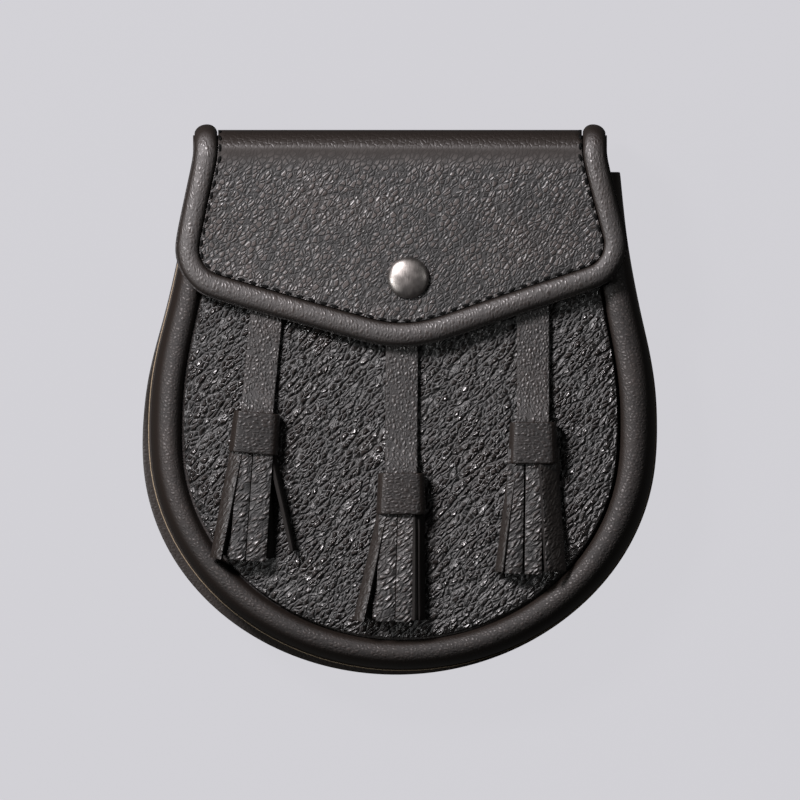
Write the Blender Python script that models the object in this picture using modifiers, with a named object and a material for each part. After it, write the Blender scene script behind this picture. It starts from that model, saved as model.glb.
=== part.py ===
"""A black leather day sporran: a pouch with a stitched front, a rolled gusset, a flap that one snap
holds, three hanging tassels and two belt loops. It lies on its back: +Z is its front, +Y the fold of
its flap and X its width. Lengths are in metres."""

from collections import namedtuple
from math import atan2, cos, hypot, pi, radians, sin

import bmesh
import bpy
from mathutils import Vector

# Leather thicknesses, and the room left between pieces that touch
BACK_LEATHER = 0.0024
GUSSET_LEATHER = 0.0018
FRONT_LEATHER = 0.0020
BACKING_LEATHER = 0.0015
FLAP_LEATHER = 0.0016
STRAP_LEATHER = 0.0018
COLLAR_LEATHER = 0.0014
STRIP_LEATHER = 0.0018
LOOP_LEATHER = 0.0020
FIT_GAP = 0.0003

# Pouch, seen from the front
BODY_WIDTH = 0.1828
BOWL_DEPTH = 0.0820
SIDE_HEIGHT = 0.0985
WIDEST_Y = -0.0160
BODY_SHIFT = 0.0013
BODY_TURN = radians(0.7)
RIM_WIDTH = 0.0032
FLANGE_REVEAL = 0.0005

# Front panel
ROLL_WIDTH = 0.01275
ROLL_WIDTH_BELOW = 0.0111
FRONT_BELOW_MOUTH = 0.0105
FRONT_CREEP = -0.0010
FRONT_HEIGHT = 0.0320
SEAM_ROOM = 0.0004

# Gusset
ROLL_HEIGHT = 0.0310

# Belt loops
LOOP_WIDTH = 0.0160
LOOP_SPREAD = 0.0900
LOOP_BELOW_MOUTH = 0.0385
LOOP_ROOM = 0.0220
LOOP_DEPTH = 0.0050
LOOP_FOOT = 0.0050
LOOP_BEND = 0.0030
LOOP_MARGIN = 0.0010

# Flap: its flat pattern, then how it folds and settles
FLAP_FOLD_WIDTH = 0.1490
FLAP_WIDTH = 0.1698
FLAP_CORNER_RUN = 0.0442
FLAP_TIP_RUN = 0.0705
FLAP_CORNER_RADIUS = 0.0180
FLAP_TIP_RADIUS = 0.0500
FOLD_ROOM = 0.0108
SHOULDER_RADIUS = 0.0065
HEEL_RADIUS = 0.0050
TAIL_OVERLAP = 0.0145
FLAP_LEAN = radians(2.0)
FLAP_SAG = 0.0025
BORDER_WIDTH = 0.0080
BORDER_RISE = 0.0037
BORDER_INSET = 0.0005

# Snap
SNAP_X = 0.0029
SNAP_RUN = 0.0433
SNAP_RADIUS = 0.0075
SNAP_RISE = 0.0032
SNAP_POST_RADIUS = 0.0020
SNAP_FLANGE_RADIUS = 0.0055
SNAP_FLANGE = 0.0008
SOCKET_RADIUS = 0.0052
SOCKET_HEIGHT = 0.0024
KNOB_RADIUS = 0.0026
RIVET_RADIUS = 0.0045

# Tassels
STRAP_WIDTH = 0.0117
COLLAR_TOP_WIDTH = 0.0168
COLLAR_FOOT_WIDTH = 0.0180
COLLAR_HEIGHT = 0.0150
COLLAR_BEND = 0.0030
TONGUE_LENGTH = 0.0066
STRAP_RISE_LENGTH = 0.0100
FRINGE_HEAD = 0.0042
FRINGE_LENGTH = 0.0385
STRIP_WIDTH = 0.0064

# Counts
BOWL_STEPS = 24
CORNER_STEPS = 6
TIP_STEPS = 3
TURN_STEPS = 4
SNAP_STEPS = 24

# Heights and places that follow from the sizes above
MOUTH_Y = WIDEST_Y + SIDE_HEIGHT
FRONT_WIDTH = BODY_WIDTH - 2 * ROLL_WIDTH
FRONT_BOWL = BOWL_DEPTH - ROLL_WIDTH_BELOW
FRONT_SIDE = SIDE_HEIGHT - FRONT_BELOW_MOUTH
LOOP_Y = MOUTH_Y - LOOP_BELOW_MOUTH
LOOP_STAND = LOOP_DEPTH + LOOP_LEATHER
LOOP_REACH = LOOP_ROOM / 2 + LOOP_LEATHER + LOOP_FOOT
LIFT_TOP_Y = LOOP_Y - LOOP_REACH - LOOP_MARGIN
FOLD_Y = MOUTH_Y + FOLD_ROOM
SHOULDER_Y = FOLD_Y - SHOULDER_RADIUS
SNAP_Y = SHOULDER_Y - SNAP_RUN
TAIL_FACE_Z = LOOP_STAND - FIT_GAP
STUD_TOP = FRONT_HEIGHT + FIT_GAP + SNAP_FLANGE
SOCKET_FOOT = STUD_TOP + FIT_GAP
FLAP_Z = SOCKET_FOOT + SOCKET_HEIGHT + FIT_GAP
PANEL_BASE = BACKING_LEATHER + FIT_GAP
CAP_FOOT = FLAP_Z + PANEL_BASE + FLAP_LEATHER + FIT_GAP
SHOULDER_RUN = SHOULDER_RADIUS * pi / 2
WALL_RUN = FLAP_Z - TAIL_FACE_Z - SHOULDER_RADIUS - HEEL_RADIUS
HEEL_RUN = HEEL_RADIUS * pi / 2
BORDER_START = -(SHOULDER_RUN + WALL_RUN)
TAIL_RUN = FOLD_Y - HEEL_RADIUS - (MOUTH_Y - TAIL_OVERLAP)
TAIL_START = BORDER_START - HEEL_RUN - TAIL_RUN
COLLAR_DEPTH = FRINGE_HEAD + 2 * (FIT_GAP + COLLAR_LEATHER)
TONGUE_LIFT = FIT_GAP + COLLAR_LEATHER + FIT_GAP

# The pouch's sides, upwards from its widest line: shares of SIDE_HEIGHT and of the half width
Side = namedtuple("Side", "height width")
SIDES = (
    Side(height=0.00, width=1.000),
    Side(height=0.16, width=0.997),
    Side(height=0.31, width=0.975),
    Side(height=0.53, width=0.919),
    Side(height=0.75, width=0.873),
    Side(height=1.00, width=0.842),
)
SIDE_ROWS = (0.09, 0.18, 0.26, 0.34, 0.41, 0.50, 0.63, 0.76, 0.88, 1.00)

# The gusset from under the front to its flange on the back: shares of the way out from the groove
# and of the height from the flange to the top of the roll
Roll = namedtuple("Roll", "out rise")
ROLLS = (
    Roll(out=-0.34, rise=0.790),
    Roll(out=0.02, rise=0.790),
    Roll(out=0.08, rise=0.860),
    Roll(out=0.17, rise=0.945),
    Roll(out=0.31, rise=0.992),
    Roll(out=0.47, rise=1.000),
    Roll(out=0.67, rise=0.955),
    Roll(out=0.84, rise=0.830),
    Roll(out=0.94, rise=0.630),
    Roll(out=0.97, rise=0.390),
    Roll(out=0.94, rise=0.170),
    Roll(out=0.90, rise=0.030),
    Roll(out=1.00, rise=0.000),
)

# Round the pouch from its top left (0) to its top right (1): how far the gusset's flange and the
# back's cut edge stand out, as shares of FLANGE_REVEAL and RIM_WIDTH
Rim = namedtuple("Rim", "round flange rim")
RIMS = (
    Rim(round=0.00, flange=0.6, rim=0.10),
    Rim(round=0.12, flange=0.8, rim=0.15),
    Rim(round=0.20, flange=1.0, rim=0.50),
    Rim(round=0.30, flange=1.0, rim=0.95),
    Rim(round=0.36, flange=1.0, rim=0.95),
    Rim(round=0.43, flange=1.0, rim=0.70),
    Rim(round=0.50, flange=0.8, rim=0.40),
    Rim(round=0.60, flange=0.2, rim=0.12),
    Rim(round=0.70, flange=-0.6, rim=0.03),
    Rim(round=1.00, flange=-0.8, rim=0.00),
)

# The front's crown: shares of the way in from its stitched edge and of its rise there
Crown = namedtuple("Crown", "inset rise")
CROWNS = (
    Crown(inset=0.00, rise=0.00),
    Crown(inset=0.02, rise=0.22),
    Crown(inset=0.05, rise=0.40),
    Crown(inset=0.12, rise=0.58),
    Crown(inset=0.30, rise=0.80),
    Crown(inset=0.55, rise=0.95),
    Crown(inset=0.80, rise=1.00),
    Crown(inset=1.00, rise=1.00),
)

# The border's padded top, from the seam to the cut edge: shares of BORDER_WIDTH and BORDER_RISE
Padding = namedtuple("Padding", "across rise")
PADDINGS = (
    Padding(across=0.00, rise=0.32),
    Padding(across=0.10, rise=0.72),
    Padding(across=0.28, rise=0.97),
    Padding(across=0.50, rise=1.00),
    Padding(across=0.72, rise=0.90),
    Padding(across=0.90, rise=0.62),
    Padding(across=1.00, rise=0.25),
)

# Where each tassel hangs: its collar's middle as shares of the front's half width and bowl, its
# strap's top as a share of SIDE_HEIGHT, its swing and its outer strips' splay in degrees
Tassel = namedtuple("Tassel", "name across down strap_top swing splay_left splay_right")
TASSELS = (
    Tassel("left", across=-0.678, down=-0.042, strap_top=0.62, swing=-4.8, splay_left=-7, splay_right=13),
    Tassel("middle", across=-0.006, down=0.258, strap_top=0.50, swing=0.4, splay_left=-11, splay_right=2),
    Tassel("right", across=0.595, down=-0.008, strap_top=0.62, swing=0.7, splay_left=-6, splay_right=4),
)

# A fringe's strips: places across in strip widths and down in leather thicknesses, which side's
# splay each takes, its roll about its own length in degrees, and its share of FRINGE_LENGTH
Strip = namedtuple("Strip", "name across under side splay roll reach")
STRIPS = (
    Strip("front_left", across=-0.53, under=0.0, side="none", splay=-1.0, roll=0, reach=1.000),
    Strip("front_right", across=0.53, under=0.0, side="none", splay=0.5, roll=0, reach=0.995),
    Strip("side_left", across=-0.86, under=0.75, side="left", splay=0.0, roll=42, reach=0.985),
    Strip("side_right", across=0.86, under=0.75, side="right", splay=0.0, roll=-50, reach=0.990),
    Strip("back_left", across=-0.50, under=1.28, side="none", splay=-4.0, roll=0, reach=0.960),
    Strip("back_right", across=0.50, under=1.28, side="none", splay=3.0, roll=0, reach=0.970),
)

# How a strip sinks towards the pouch along its length: shares of its reach and of STRIP_LEATHER
Droop = namedtuple("Droop", "along sink")
DROOPS = (
    Droop(along=0.00, sink=0.00),
    Droop(along=0.35, sink=0.15),
    Droop(along=0.70, sink=0.55),
    Droop(along=1.00, sink=0.80),
)


def read(table, column, at):
    """A column of a table at this place in the table's first column, on a smooth curve."""
    keys = [row[0] for row in table]
    values = [getattr(row, column) for row in table]
    last = len(keys) - 1
    at = min(max(at, keys[0]), keys[last])
    low = next(i for i in range(last) if at <= keys[i + 1])

    def slope(i):
        before, after = max(i - 1, 0), min(i + 1, last)
        return (values[after] - values[before]) / (keys[after] - keys[before])

    step = keys[low + 1] - keys[low]
    t = (at - keys[low]) / step
    ends = values[low] * (2 * t**3 - 3 * t**2 + 1) + values[low + 1] * (3 * t**2 - 2 * t**3)
    tilts = slope(low) * (t**3 - 2 * t**2 + t) + slope(low + 1) * (t**3 - t**2)
    return ends + tilts * step


def smooth_step(share):
    share = min(max(share, 0.0), 1.0)
    return share * share * (3 - 2 * share)


# Meshes and objects


def leather(name, colour, roughness):
    material = bpy.data.materials.new(name)
    material.use_nodes = True
    shader = material.node_tree.nodes["Principled BSDF"]
    shader.inputs["Base Color"].default_value = (*colour, 1.0)
    shader.inputs["Roughness"].default_value = roughness
    return material


def metal(name, colour, roughness):
    material = leather(name, colour, roughness)
    material.node_tree.nodes["Principled BSDF"].inputs["Metallic"].default_value = 1.0
    return material


def loft(rows, flip=False, closed=False, caps=False):
    """A bmesh through rows of points. Closed joins each row's ends, and caps fill the end rows."""
    mesh = bmesh.new()
    grid = [[mesh.verts.new(point) for point in row] for row in rows]
    count = len(grid[0])
    for upper, lower in zip(grid, grid[1:]):
        for i in range(count if closed else count - 1):
            j = (i + 1) % count
            corners = [upper[i], upper[j], lower[j], lower[i]]
            mesh.faces.new(corners[::-1] if flip else corners)
    if caps:
        mesh.faces.new(grid[0] if flip else grid[0][::-1])
        mesh.faces.new(grid[-1][::-1] if flip else grid[-1])
    bmesh.ops.remove_doubles(mesh, verts=mesh.verts, dist=FIT_GAP / 100)
    return mesh


def add_piece(name, mesh, material, parent, collection):
    data = bpy.data.meshes.new(name)
    mesh.to_mesh(data)
    mesh.free()
    data.materials.append(material)
    data.shade_smooth()
    data.set_sharp_from_angle(angle=radians(40))
    piece = bpy.data.objects.new(name, data)
    piece.parent = parent
    collection.objects.link(piece)
    return piece


def add_wall(piece, thickness, offset=-1.0):
    """Gives a sheet its leather. Offset -1 keeps the sheet as the outer face, +1 as the inner one."""
    wall = piece.modifiers.new("Leather", "SOLIDIFY")
    wall.thickness = thickness
    wall.offset = offset
    return piece


def add_boolean(piece, helper, operation):
    cut = piece.modifiers.new(helper.name, "BOOLEAN")
    cut.operation = operation
    cut.solver = "EXACT"
    cut.object = helper
    return piece


def add_helper(name, mesh, parent, cutters):
    data = bpy.data.meshes.new(name)
    mesh.to_mesh(data)
    mesh.free()
    helper = bpy.data.objects.new(name, data)
    helper.parent = parent
    helper.hide_render = True
    helper.display_type = "WIRE"
    cutters.objects.link(helper)
    return helper


def add_frame(name, parent, location, turn, collection):
    frame = bpy.data.objects.new(name, None)
    frame.parent = parent
    frame.location = location
    frame.rotation_euler.z = turn
    collection.objects.link(frame)
    return frame


def add_hole(piece, radius, root, cutters):
    """Cuts the snap post's hole through a sheet."""
    mesh = bmesh.new()
    bmesh.ops.create_cone(
        mesh, cap_ends=True, segments=SNAP_STEPS, radius1=radius, radius2=radius, depth=4 * FRONT_HEIGHT
    )
    cutter = add_helper("hole_in_" + piece.name, mesh, root, cutters)
    cutter.location = (SNAP_X, SNAP_Y, FRONT_HEIGHT)
    return add_boolean(piece, cutter, "DIFFERENCE")


def add_turned(name, profile, material, root, collection):
    """A turned piece: its profile runs from the axis at the top, down its outside, to the axis."""
    mesh = bmesh.new()
    points = [mesh.verts.new((radius, 0.0, height)) for radius, height in profile]
    for start, end in zip(points, points[1:]):
        mesh.edges.new((start, end))
    piece = add_piece(name, mesh, material, root, collection)
    turn = piece.modifiers.new("Turn", "SCREW")
    turn.steps = turn.render_steps = SNAP_STEPS
    turn.use_merge_vertices = True
    turn.merge_threshold = FIT_GAP / 100
    turn.use_smooth_shade = True
    return piece


# Pouch


def pouch_edge(half_width, bowl_depth, top, creep=0.0):
    """The pouch's outline in plan, from its top left round the bowl to its top right."""
    left = []
    for row in reversed(SIDE_ROWS):
        height = row * top
        width = half_width * read(SIDES, "width", height / SIDE_HEIGHT)
        left.append((-width, WIDEST_Y + height))
    right = [(-x, y) for x, y in reversed(left)]
    bowl = []
    for step in range(BOWL_STEPS + 1):
        angle = pi * step / BOWL_STEPS
        bowl.append((-half_width * cos(angle), WIDEST_Y - bowl_depth * sin(angle)))
    return [(x + creep, y) for x, y in left + bowl + right]


def spine_of(edge, creep=0.0):
    """For each point of an outline, the point in the pouch's middle that its row runs to."""
    return [(creep, max(y, WIDEST_Y)) for _, y in edge]


def back_lift(y):
    """How far the back stands off the ground: it rises over the belt loops."""
    return LOOP_STAND * smooth_step((y - WIDEST_Y) / (LIFT_TOP_Y - WIDEST_Y))


def flange_height(y):
    return back_lift(y) + BACK_LEATHER + FIT_GAP + GUSSET_LEATHER


def seat_height(y):
    """Top of the gusset's lip, which the front's edge is sewn to."""
    return flange_height(y) + (ROLL_HEIGHT - flange_height(y)) * ROLLS[0].rise


def front_edge_sizes():
    return FRONT_WIDTH / 2 - SEAM_ROOM, FRONT_BOWL - SEAM_ROOM


def front_height(x, y):
    """Height of the front's face."""
    half, bowl = front_edge_sizes()
    if y >= WIDEST_Y:
        out = abs(x - FRONT_CREEP) / (half * read(SIDES, "width", (y - WIDEST_Y) / SIDE_HEIGHT))
    else:
        out = hypot((x - FRONT_CREEP) / half, (y - WIDEST_Y) / bowl)
    edge = seat_height(y) + FIT_GAP + FRONT_LEATHER
    return edge + (FRONT_HEIGHT - edge) * read(CROWNS, "rise", 1 - min(out, 1.0))


def outward(edge, i):
    """The outline's direction outwards at its point i."""
    before, after = edge[max(i - 1, 0)], edge[min(i + 1, len(edge) - 1)]
    along = Vector((after[0] - before[0], after[1] - before[1])).normalized()
    return Vector((along.y, -along.x))


def gusset_edges():
    groove = pouch_edge(FRONT_WIDTH / 2, FRONT_BOWL, SIDE_HEIGHT, FRONT_CREEP)
    return groove, pouch_edge(BODY_WIDTH / 2, BOWL_DEPTH, SIDE_HEIGHT)


def gusset_mesh():
    groove, outer = gusset_edges()
    rows = []
    for i, (inner_point, outer_point) in enumerate(zip(groove, outer)):
        start = Vector(inner_point)
        way = Vector(outer_point) - start
        reveal = FLANGE_REVEAL * read(RIMS, "flange", i / (len(outer) - 1))
        low = flange_height(outer_point[1])
        row = []
        for roll in ROLLS:
            place = start + way * roll.out
            if roll is ROLLS[-1]:
                place += way.normalized() * reveal
            row.append((*place, low + (ROLL_HEIGHT - low) * roll.rise))
        rows.append(row)
    return loft(rows)


def back_mesh():
    """The back's outer face, with its cut edge standing out past the gusset."""
    _, outer = gusset_edges()
    rows = []
    for i, (point, middle) in enumerate(zip(outer, spine_of(outer))):
        share = i / (len(outer) - 1)
        reveal = max(FLANGE_REVEAL * read(RIMS, "flange", share), 0) + RIM_WIDTH * read(RIMS, "rim", share)
        side = Vector(point) + outward(outer, i) * reveal
        side.y = max(side.y, point[1]) if point[1] >= MOUTH_Y - FIT_GAP else side.y
        middle = Vector(middle)
        row = []
        for inset in (0.0, 0.5, 1.0):
            place = side.lerp(middle, inset)
            row.append((*place, back_lift(place.y)))
        rows.append(row)
    return loft(rows)


def front_mesh():
    """The front's outer face, crowned from its stitched edge up to its middle."""
    half, bowl = front_edge_sizes()
    edge = pouch_edge(half, bowl, FRONT_SIDE, FRONT_CREEP)
    rows = []
    for point, middle in zip(edge, spine_of(edge, FRONT_CREEP)):
        row = []
        for crown in CROWNS:
            place = Vector(point).lerp(Vector(middle), crown.inset)
            seat = seat_height(place.y) + FIT_GAP + FRONT_LEATHER
            row.append((*place, seat + (FRONT_HEIGHT - seat) * crown.rise))
        rows.append(row)
    return loft(rows, flip=True)


def loop_profile():
    """A belt loop's outer face in (y, z), from one foot on the back round to the other."""
    foot_z = LOOP_STAND - FIT_GAP - LOOP_LEATHER
    leg = LOOP_ROOM / 2 + LOOP_LEATHER
    left = [(-LOOP_REACH, foot_z), (-leg - LOOP_BEND / 4, foot_z), (-leg, foot_z - LOOP_BEND / 4)]
    for step in range(TURN_STEPS + 1):
        angle = pi / 2 * step / TURN_STEPS
        left.append((LOOP_BEND * (1 - cos(angle)) - leg, LOOP_BEND * (1 - sin(angle))))
    return left + [(-y, z) for y, z in reversed(left)]


def loop_mesh():
    half = LOOP_WIDTH / 2
    rows = [((-half, y, z), (half, y, z)) for y, z in loop_profile()]
    return loft(rows, flip=True)


# Flap


def flap_place(run, height):
    """(y, z) above the backing's inner face, run metres down the front from the shoulder. Below
    zero the run goes back over the shoulder, down the wall, round the heel and along the tail."""
    back = -run
    if back <= 0:
        y, z, ny, nz = SHOULDER_Y - run, FLAP_Z, 0.0, 1.0
    elif back <= SHOULDER_RUN:
        angle = back / SHOULDER_RADIUS
        ny, nz = sin(angle), cos(angle)
        y, z = SHOULDER_Y + SHOULDER_RADIUS * ny, FLAP_Z - SHOULDER_RADIUS * (1 - nz)
    elif back <= SHOULDER_RUN + WALL_RUN:
        y, z, ny, nz = FOLD_Y, FLAP_Z - SHOULDER_RADIUS - (back - SHOULDER_RUN), 1.0, 0.0
    elif back <= SHOULDER_RUN + WALL_RUN + HEEL_RUN:
        angle = (back - SHOULDER_RUN - WALL_RUN) / HEEL_RADIUS
        ny, nz = cos(angle), -sin(angle)
        y, z = FOLD_Y - HEEL_RADIUS * (1 - ny), TAIL_FACE_Z + HEEL_RADIUS * (1 + nz)
    else:
        tail = back - SHOULDER_RUN - WALL_RUN - HEEL_RUN
        y, z, ny, nz = FOLD_Y - HEEL_RADIUS - tail, TAIL_FACE_Z, 0.0, -1.0
    return y + ny * height, z + nz * height


def flap_point(x, run, height):
    """A point of the flap: it leans to one side and sags at its sides, more so down its length."""
    y, z = flap_place(run, height)
    share = max(run, 0.0) / FLAP_TIP_RUN
    sag = FLAP_SAG * (2 * x / FLAP_WIDTH) ** 2 * smooth_step(2 * share)
    lean = FLAP_LEAN * share
    return x + lean * max(run, 0.0), y + lean * x, z - sag


def fold_runs(start):
    """The rows over the fold, from the start of a sheet to its shoulder."""
    runs = [TAIL_START, BORDER_START - HEEL_RUN]
    runs += [BORDER_START - HEEL_RUN * (1 - step / TURN_STEPS) for step in range(1, TURN_STEPS + 1)]
    runs += [-SHOULDER_RUN * (1 - step / TURN_STEPS) for step in range(TURN_STEPS + 1)]
    return [run for run in runs if run >= start - FIT_GAP / 10]


def flap_edge(inset, start):
    """(half width, run) down the flap's side and round to its point, inset from its cut edge."""
    flare = (FLAP_WIDTH - FLAP_FOLD_WIDTH) / 2 / FLAP_CORNER_RUN
    side = Vector((flare, 1.0)).normalized()
    point = Vector((-FLAP_WIDTH / 2, FLAP_TIP_RUN - FLAP_CORNER_RUN)).normalized()
    side_out, point_out = Vector((side.y, -side.x)), Vector((point.y, -point.x))
    corner = Vector((FLAP_WIDTH / 2, FLAP_CORNER_RUN))
    bisector = -(side_out + point_out).normalized()
    centre = corner + bisector * (FLAP_CORNER_RADIUS / -bisector.dot(side_out))
    tip_centre = FLAP_TIP_RUN - FLAP_TIP_RADIUS / point_out.y
    side_angle, point_angle = atan2(side_out.y, side_out.x), atan2(point_out.y, point_out.x)

    def width_at(run):
        return FLAP_FOLD_WIDTH / 2 + flare * max(run, 0.0) - inset / side_out.x

    edge = [(width_at(run), run) for run in fold_runs(start)]
    radius = FLAP_CORNER_RADIUS - inset
    corner_run = centre.y + radius * sin(side_angle)
    edge += [(width_at(run), run) for run in (corner_run / 3, corner_run * 2 / 3)]
    for step in range(CORNER_STEPS + 1):
        angle = side_angle + (point_angle - side_angle) * step / CORNER_STEPS
        edge.append((centre.x + radius * cos(angle), centre.y + radius * sin(angle)))
    tip = []
    radius = FLAP_TIP_RADIUS - inset
    for step in range(TIP_STEPS + 1):
        angle = point_angle + (pi / 2 - point_angle) * step / TIP_STEPS
        tip.append((radius * cos(angle), tip_centre + radius * sin(angle)))
    tip[-1] = (0.0, tip[-1][1])
    middle = [tuple(Vector(edge[-1]).lerp(Vector(tip[0]), share)) for share in (0.33, 0.67)]
    return edge + middle + tip


def flap_sheet(inset, start, height):
    """One face of a sheet of the flap."""
    columns = (-1.0, -0.9, -0.75, -0.5, -0.25, 0.0, 0.25, 0.5, 0.75, 0.9, 1.0)
    edge = flap_edge(inset, start)
    rows = [[flap_point(width * column, run, height) for column in columns] for width, run in edge]
    return loft(rows, flip=True)


def border_mesh():
    """The padded border, a closed roll along the flap's sides and point."""
    outer = flap_edge(BORDER_INSET, BORDER_START)
    inner = flap_edge(BORDER_INSET + BORDER_WIDTH, BORDER_START)
    stations = [(Vector(a), Vector(b), -1) for a, b in zip(inner, outer)]
    stations += [(a, b, 1) for a, b, _ in reversed(stations[:-1])]
    rows = []
    for seam, cut, side in stations:
        places = [seam.lerp(cut, padding.across) for padding in PADDINGS]
        heights = [PANEL_BASE + BORDER_RISE * padding.rise for padding in PADDINGS]
        places += [cut, seam]
        heights += [PANEL_BASE, PANEL_BASE]
        rows.append([flap_point(side * place.x, place.y, up) for place, up in zip(places, heights)])
    mesh = loft(rows, closed=True, caps=True)
    bmesh.ops.recalc_face_normals(mesh, faces=mesh.faces)
    return mesh


# Snap


def cap_profile():
    top = CAP_FOOT + SNAP_RISE
    dome = CAP_FOOT + SNAP_RISE * 0.28
    profile = []
    for step in range(7):
        angle = pi / 2 * step / 6
        profile.append((SNAP_RADIUS * 0.96 * sin(angle), dome + (top - dome) * cos(angle)))
    profile[0] = (0.0, top)
    profile += [(SNAP_RADIUS, CAP_FOOT + SNAP_RISE * 0.2), (SNAP_RADIUS, CAP_FOOT + SNAP_RISE * 0.06)]
    profile += [(SNAP_RADIUS * 0.97, CAP_FOOT), (SNAP_POST_RADIUS, CAP_FOOT)]
    socket_top = SOCKET_FOOT + SOCKET_HEIGHT
    cavity_top = STUD_TOP + SOCKET_HEIGHT - FIT_GAP
    cavity = KNOB_RADIUS + FIT_GAP
    profile += [(SNAP_POST_RADIUS, socket_top), (SOCKET_RADIUS, socket_top)]
    profile += [(SOCKET_RADIUS, SOCKET_FOOT), (cavity, SOCKET_FOOT), (cavity, cavity_top), (0.0, cavity_top)]
    return profile


def stud_profile():
    knob_top = STUD_TOP + SOCKET_HEIGHT - 2 * FIT_GAP
    neck = KNOB_RADIUS * 0.8
    rivet_top = FRONT_HEIGHT - FRONT_LEATHER - FIT_GAP
    return [
        (0.0, knob_top),
        (KNOB_RADIUS * 0.85, knob_top),
        (KNOB_RADIUS, knob_top - SOCKET_HEIGHT * 0.2),
        (KNOB_RADIUS, knob_top - SOCKET_HEIGHT * 0.4),
        (neck, knob_top - SOCKET_HEIGHT * 0.55),
        (neck, STUD_TOP),
        (SNAP_FLANGE_RADIUS, STUD_TOP),
        (SNAP_FLANGE_RADIUS, STUD_TOP - SNAP_FLANGE),
        (SNAP_POST_RADIUS, STUD_TOP - SNAP_FLANGE),
        (SNAP_POST_RADIUS, rivet_top),
        (RIVET_RADIUS, rivet_top),
        (RIVET_RADIUS, rivet_top - SNAP_FLANGE),
        (0.0, rivet_top - SNAP_FLANGE),
    ]


# Tassels


def tassel_place(tassel):
    return tassel.across * FRONT_WIDTH / 2, WIDEST_Y - tassel.down * FRONT_BOWL


def tassel_seat(tassel):
    """The height that a collar lies at: the front's highest point under it."""
    x, y = tassel_place(tassel)
    sides = (x - COLLAR_FOOT_WIDTH / 2, x, x + COLLAR_FOOT_WIDTH / 2)
    ends = (y - COLLAR_HEIGHT / 2, y + COLLAR_HEIGHT / 2)
    return max(front_height(side, end) for side in sides for end in ends) + FIT_GAP


def strap_mesh(tassel):
    """A strap's lower face in the pouch's frame: it follows the front, then rises into its collar."""
    x, y = tassel_place(tassel)
    swing = radians(tassel.swing)
    top = WIDEST_Y + tassel.strap_top * SIDE_HEIGHT
    tongue = COLLAR_HEIGHT / 2 - TONGUE_LENGTH
    length = (top - y) / cos(swing) - tongue
    entry = tassel_seat(tassel) - FIT_GAP + TONGUE_LIFT
    rise_end = TONGUE_LENGTH + FIT_GAP
    reaches = [0.0, TONGUE_LENGTH, rise_end + STRAP_RISE_LENGTH * 0.33, rise_end + STRAP_RISE_LENGTH * 0.67]
    reaches += [rise_end + STRAP_RISE_LENGTH, (rise_end + STRAP_RISE_LENGTH + length) / 2, length]
    rows = []
    for reach in reversed(reaches):
        row = []
        for side in (-0.5, 0.0, 0.5):
            along, across = tongue + reach, side * STRAP_WIDTH
            place_x = x + across * cos(swing) - along * sin(swing)
            place_y = y + across * sin(swing) + along * cos(swing)
            lying = front_height(place_x, place_y) + FIT_GAP
            share = 1 - smooth_step((reach - rise_end) / STRAP_RISE_LENGTH)
            row.append((place_x, place_y, lying + (entry - lying) * share))
        rows.append(row)
    return loft(rows, flip=True)


def ring_section(width, depth, base):
    """A rounded rectangle in (x, z), with its underside at base."""
    corners = ((1, 1, 0), (-1, 1, 1), (-1, -1, 2), (1, -1, 3))
    section = []
    for side, up, quarter in corners:
        middle_x = side * (width / 2 - COLLAR_BEND)
        middle_z = base + depth / 2 + up * (depth / 2 - COLLAR_BEND)
        for step in range(TURN_STEPS + 1):
            angle = pi / 2 * (quarter + step / TURN_STEPS)
            section.append((middle_x + COLLAR_BEND * cos(angle), middle_z + COLLAR_BEND * sin(angle)))
    return section


def collar_mesh():
    """The wrapped band's outer face, in its tassel's frame."""
    rows = []
    for along, width in ((0.5, COLLAR_TOP_WIDTH), (-0.5, COLLAR_FOOT_WIDTH)):
        section = ring_section(width, COLLAR_DEPTH, 0.0)
        rows.append([(x, along * COLLAR_HEIGHT, z) for x, z in section])
    return loft(rows, closed=True)


def head_mesh():
    """The block inside the collar that a fringe's strips are fused to."""
    mesh = bmesh.new()
    bmesh.ops.create_cube(mesh, size=1.0)
    inside = COLLAR_TOP_WIDTH - 2 * (COLLAR_LEATHER + COLLAR_BEND / 2)
    length = COLLAR_HEIGHT - TONGUE_LENGTH - FIT_GAP
    bmesh.ops.scale(mesh, verts=mesh.verts, vec=(inside, length, FRINGE_HEAD))
    middle = (0.0, (length - COLLAR_HEIGHT) / 2, COLLAR_LEATHER + FIT_GAP + FRINGE_HEAD / 2)
    bmesh.ops.translate(mesh, verts=mesh.verts, vec=middle)
    return mesh


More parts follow.
